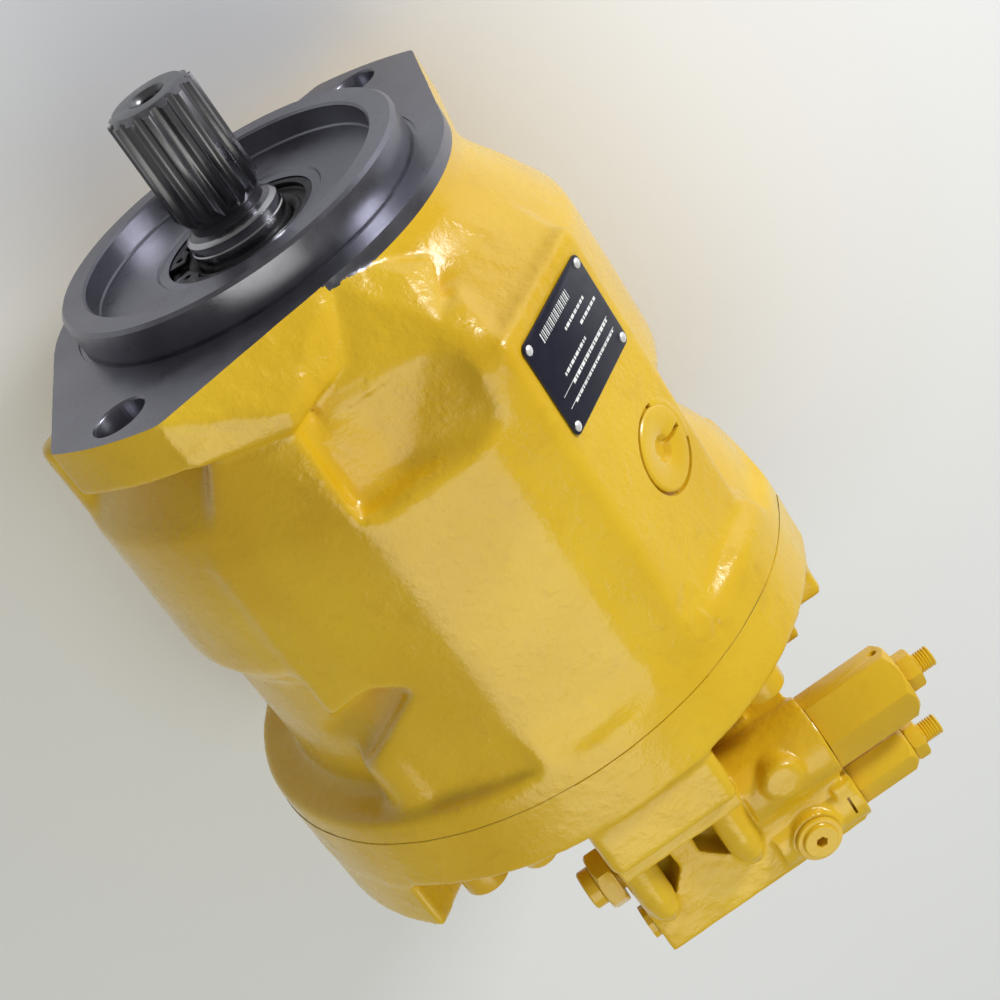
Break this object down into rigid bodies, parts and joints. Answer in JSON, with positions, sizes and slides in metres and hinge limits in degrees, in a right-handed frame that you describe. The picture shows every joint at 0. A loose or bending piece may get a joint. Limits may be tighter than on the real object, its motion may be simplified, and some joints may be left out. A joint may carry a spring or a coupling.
{
  "type": "axial piston pump",
  "caption": "Variable axial piston hydraulic pump: yellow cast casing, bolt-on flange, splined shaft, tilting swashplate, pistons in a turning barrel and a side regulator.",
  "frame": {"origin": "centre of the mounting flange's face, on the drive shaft's axis", "axes": "+Y from the flange to the back of the pump along the shaft, +Z to the side of the stroking cylinder's bulge, +X away from the regulator's adjusters"},
  "size_m": [0.217, 0.3355, 0.21],
  "materials": {
    "yellow_paint": "glossy enamel over cast iron",
    "steel": "ground and oiled",
    "dark_steel": "phosphated, oiled",
    "bronze": "machined bearing bronze",
    "black_rubber": "moulded nitrile rubber",
    "blue_black_plate": "printed plate, satin",
    "gasket": "pressed fibre sheet"
  },
  "bodies": {
    "casing": {"bias_spring": "steel", "control_valve_body": "yellow_paint", "cradle_bearing_left": "bronze", "cradle_bearing_right": "bronze", "drain_plug": "yellow_paint", "flow_adjuster_sleeve": "yellow_paint", "flow_bore_plug": "yellow_paint", "flow_valve_spring": "steel", "front_bearing_cup": "steel", "housing": "yellow_paint", "joint_gasket": "gasket", "load_sensing_plug": "yellow_paint", "nameplate": "blue_black_plate", "port_plate": "yellow_paint", "port_plate_screw_1": "yellow_paint", "port_plate_screw_2": "yellow_paint", "port_plate_screw_3": "yellow_paint", "port_plate_screw_4": "yellow_paint", "pressure_adjuster_sleeve": "yellow_paint", "pressure_valve_spring": "steel", "rear_bearing_cup": "steel", "seal_circlip": "dark_steel", "shaft_seal": "black_rubber", "spool_stop_cap": "yellow_paint", "valve_plate": "bronze"},
    "rotating_group": {"drive_shaft": "dark_steel", "cylinder_block": "steel", "retainer_ball": "steel", "barrel_spring": "steel", "front_bearing_cone": "steel", "rear_bearing_cone": "steel"},
    "swashplate": {"swashplate": "steel"},
    "retainer_plate": {"retainer_plate": "steel"},
    "piston_1": {"piston_1": "steel"},
    "slipper_1": {"slipper_1": "bronze"},
    "piston_2": {"piston_2": "steel"},
    "slipper_2": {"slipper_2": "bronze"},
    "piston_3": {"piston_3": "steel"},
    "slipper_3": {"slipper_3": "bronze"},
    "piston_4": {"piston_4": "steel"},
    "slipper_4": {"slipper_4": "bronze"},
    "piston_5": {"piston_5": "steel"},
    "slipper_5": {"slipper_5": "bronze"},
    "piston_6": {"piston_6": "steel"},
    "slipper_6": {"slipper_6": "bronze"},
    "piston_7": {"piston_7": "steel"},
    "slipper_7": {"slipper_7": "bronze"},
    "piston_8": {"piston_8": "steel"},
    "slipper_8": {"slipper_8": "bronze"},
    "piston_9": {"piston_9": "steel"},
    "slipper_9": {"slipper_9": "bronze"},
    "control_piston": {"control_piston": "steel"},
    "bias_piston": {"bias_piston": "steel"},
    "pressure_spool": {"pressure_spool": "steel"},
    "pressure_adjuster_screw": {"pressure_adjuster_screw": "yellow_paint"},
    "pressure_adjuster_locknut": {"pressure_adjuster_locknut": "yellow_paint"},
    "flow_spool": {"flow_spool": "steel"},
    "flow_adjuster_screw": {"flow_adjuster_screw": "yellow_paint"},
    "flow_adjuster_locknut": {"flow_adjuster_locknut": "yellow_paint"},
    "spool_stop_screw": {"spool_stop_screw": "yellow_paint"}
  },
  "joints": [
    {"name": "shaft_spin", "type": "hinge", "parent": "casing", "child": "rotating_group", "pos_m": [0, 0, 0], "axis": [0, 1, 0], "continuous": true},
    {"name": "swash_tilt", "type": "hinge", "parent": "casing", "child": "swashplate", "pos_m": [0, 0.086, 0], "axis": [-1, 0, 0], "range_deg": [0, 17]},
    {"name": "retainer_spin", "type": "hinge", "parent": "swashplate", "child": "retainer_plate", "pos_m": [0, 0.086, 0], "axis": [0, 1, 0], "continuous": true},
    {"name": "slipper_1_turn", "type": "hinge", "parent": "retainer_plate", "child": "slipper_1", "pos_m": [0, 0.086, 0.0409], "axis": [0, 1, 0], "continuous": true},
    {"name": "piston_1_ball", "type": "hinge", "parent": "slipper_1", "child": "piston_1", "pos_m": [0, 0.086, 0.0409], "axis": [-1, 0, 0], "range_deg": [-17.5, 0]},
    {"name": "slipper_2_turn", "type": "hinge", "parent": "retainer_plate", "child": "slipper_2", "pos_m": [-0.02629, 0.086, 0.03133], "axis": [0, 1, 0], "continuous": true},
    {"name": "piston_2_ball", "type": "hinge", "parent": "slipper_2", "child": "piston_2", "pos_m": [-0.02629, 0.086, 0.03133], "axis": [-1, 0, 0], "range_deg": [-17.5, 0]},
    {"name": "slipper_3_turn", "type": "hinge", "parent": "retainer_plate", "child": "slipper_3", "pos_m": [-0.04028, 0.086, 0.0071], "axis": [0, 1, 0], "continuous": true},
    {"name": "piston_3_ball", "type": "hinge", "parent": "slipper_3", "child": "piston_3", "pos_m": [-0.04028, 0.086, 0.0071], "axis": [-1, 0, 0], "range_deg": [-17.5, 0]},
    {"name": "slipper_4_turn", "type": "hinge", "parent": "retainer_plate", "child": "slipper_4", "pos_m": [-0.03542, 0.086, -0.02045], "axis": [0, 1, 0], "continuous": true},
    {"name": "piston_4_ball", "type": "hinge", "parent": "slipper_4", "child": "piston_4", "pos_m": [-0.03542, 0.086, -0.02045], "axis": [-1, 0, 0], "range_deg": [-17.5, 0]},
    {"name": "slipper_5_turn", "type": "hinge", "parent": "retainer_plate", "child": "slipper_5", "pos_m": [-0.01399, 0.086, -0.03843], "axis": [0, 1, 0], "continuous": true},
    {"name": "piston_5_ball", "type": "hinge", "parent": "slipper_5", "child": "piston_5", "pos_m": [-0.01399, 0.086, -0.03843], "axis": [-1, 0, 0], "range_deg": [-17.5, 0]},
    {"name": "slipper_6_turn", "type": "hinge", "parent": "retainer_plate", "child": "slipper_6", "pos_m": [0.01399, 0.086, -0.03843], "axis": [0, 1, 0], "continuous": true},
    {"name": "piston_6_ball", "type": "hinge", "parent": "slipper_6", "child": "piston_6", "pos_m": [0.01399, 0.086, -0.03843], "axis": [-1, 0, 0], "range_deg": [-17.5, 0]},
    {"name": "slipper_7_turn", "type": "hinge", "parent": "retainer_plate", "child": "slipper_7", "pos_m": [0.03542, 0.086, -0.02045], "axis": [0, 1, 0], "continuous": true},
    {"name": "piston_7_ball", "type": "hinge", "parent": "slipper_7", "child": "piston_7", "pos_m": [0.03542, 0.086, -0.02045], "axis": [-1, 0, 0], "range_deg": [-17.5, 0]},
    {"name": "slipper_8_turn", "type": "hinge", "parent": "retainer_plate", "child": "slipper_8", "pos_m": [0.04028, 0.086, 0.0071], "axis": [0, 1, 0], "continuous": true},
    {"name": "piston_8_ball", "type": "hinge", "parent": "slipper_8", "child": "piston_8", "pos_m": [0.04028, 0.086, 0.0071], "axis": [-1, 0, 0], "range_deg": [-17.5, 0]},
    {"name": "slipper_9_turn", "type": "hinge", "parent": "retainer_plate", "child": "slipper_9", "pos_m": [0.02629, 0.086, 0.03133], "axis": [0, 1, 0], "continuous": true},
    {"name": "piston_9_ball", "type": "hinge", "parent": "slipper_9", "child": "piston_9", "pos_m": [0.02629, 0.086, 0.03133], "axis": [-1, 0, 0], "range_deg": [-17.5, 0]},
    {"name": "control_piston_slide", "type": "slide", "parent": "casing", "child": "control_piston", "axis": [0, 1, 0], "range_m": [0, 0.0223]},
    {"name": "bias_piston_slide", "type": "slide", "parent": "casing", "child": "bias_piston", "axis": [0, 1, 0], "range_m": [-0.0198, 0], "deforming": ["bias_spring"]},
    {"name": "pressure_spool_slide", "type": "slide", "parent": "casing", "child": "pressure_spool", "axis": [-1, 0, 0], "range_m": [0, 0.003], "stiffness_N_per_m": 6000, "springref_m": -0.001, "deforming": ["pressure_valve_spring"]},
    {"name": "pressure_adjuster_turn", "type": "hinge", "parent": "casing", "child": "pressure_adjuster_screw", "pos_m": [-0.09, 0.2405, 0.0725], "axis": [-1, 0, 0], "range_deg": [-720, 720]},
    {"name": "pressure_locknut_turn", "type": "hinge", "parent": "casing", "child": "pressure_adjuster_locknut", "pos_m": [-0.0993, 0.2405, 0.0725], "axis": [-1, 0, 0], "range_deg": [-360, 360]},
    {"name": "flow_spool_slide", "type": "slide", "parent": "casing", "child": "flow_spool", "axis": [-1, 0, 0], "range_m": [0, 0.003], "stiffness_N_per_m": 6000, "springref_m": -0.001, "deforming": ["flow_valve_spring"]},
    {"name": "flow_adjuster_turn", "type": "hinge", "parent": "casing", "child": "flow_adjuster_screw", "pos_m": [-0.08, 0.267, 0.0725], "axis": [-1, 0, 0], "range_deg": [-720, 720]},
    {"name": "flow_locknut_turn", "type": "hinge", "parent": "casing", "child": "flow_adjuster_locknut", "pos_m": [-0.0893, 0.267, 0.0725], "axis": [-1, 0, 0], "range_deg": [-360, 360]},
    {"name": "spool_stop_turn", "type": "hinge", "parent": "casing", "child": "spool_stop_screw", "pos_m": [0, 0.2405, 0.0725], "axis": [-1, 0, 0], "range_deg": [-360, 360]}
  ],
  "couplings": [
    {"joint": "retainer_spin", "follows": "shaft_spin", "ratio": 1},
    {"joint": "slipper_1_turn", "follows": "shaft_spin", "ratio": -1},
    {"joint": "piston_1_ball", "follows": "swash_tilt", "ratio": -1},
    {"joint": "slipper_2_turn", "follows": "shaft_spin", "ratio": -1},
    {"joint": "piston_2_ball", "follows": "swash_tilt", "ratio": -1},
    {"joint": "slipper_3_turn", "follows": "shaft_spin", "ratio": -1},
    {"joint": "piston_3_ball", "follows": "swash_tilt", "ratio": -1},
    {"joint": "slipper_4_turn", "follows": "shaft_spin", "ratio": -1},
    {"joint": "piston_4_ball", "follows": "swash_tilt", "ratio": -1},
    {"joint": "slipper_5_turn", "follows": "shaft_spin", "ratio": -1},
    {"joint": "piston_5_ball", "follows": "swash_tilt", "ratio": -1},
    {"joint": "slipper_6_turn", "follows": "shaft_spin", "ratio": -1},
    {"joint": "piston_6_ball", "follows": "swash_tilt", "ratio": -1},
    {"joint": "slipper_7_turn", "follows": "shaft_spin", "ratio": -1},
    {"joint": "piston_7_ball", "follows": "swash_tilt", "ratio": -1},
    {"joint": "slipper_8_turn", "follows": "shaft_spin", "ratio": -1},
    {"joint": "piston_8_ball", "follows": "swash_tilt", "ratio": -1},
    {"joint": "slipper_9_turn", "follows": "shaft_spin", "ratio": -1},
    {"joint": "piston_9_ball", "follows": "swash_tilt", "ratio": -1},
    {"joint": "control_piston_slide", "follows": "swash_tilt", "m_per_rad": 0.074},
    {"joint": "bias_piston_slide", "follows": "swash_tilt", "m_per_rad": -0.066}
  ]
}
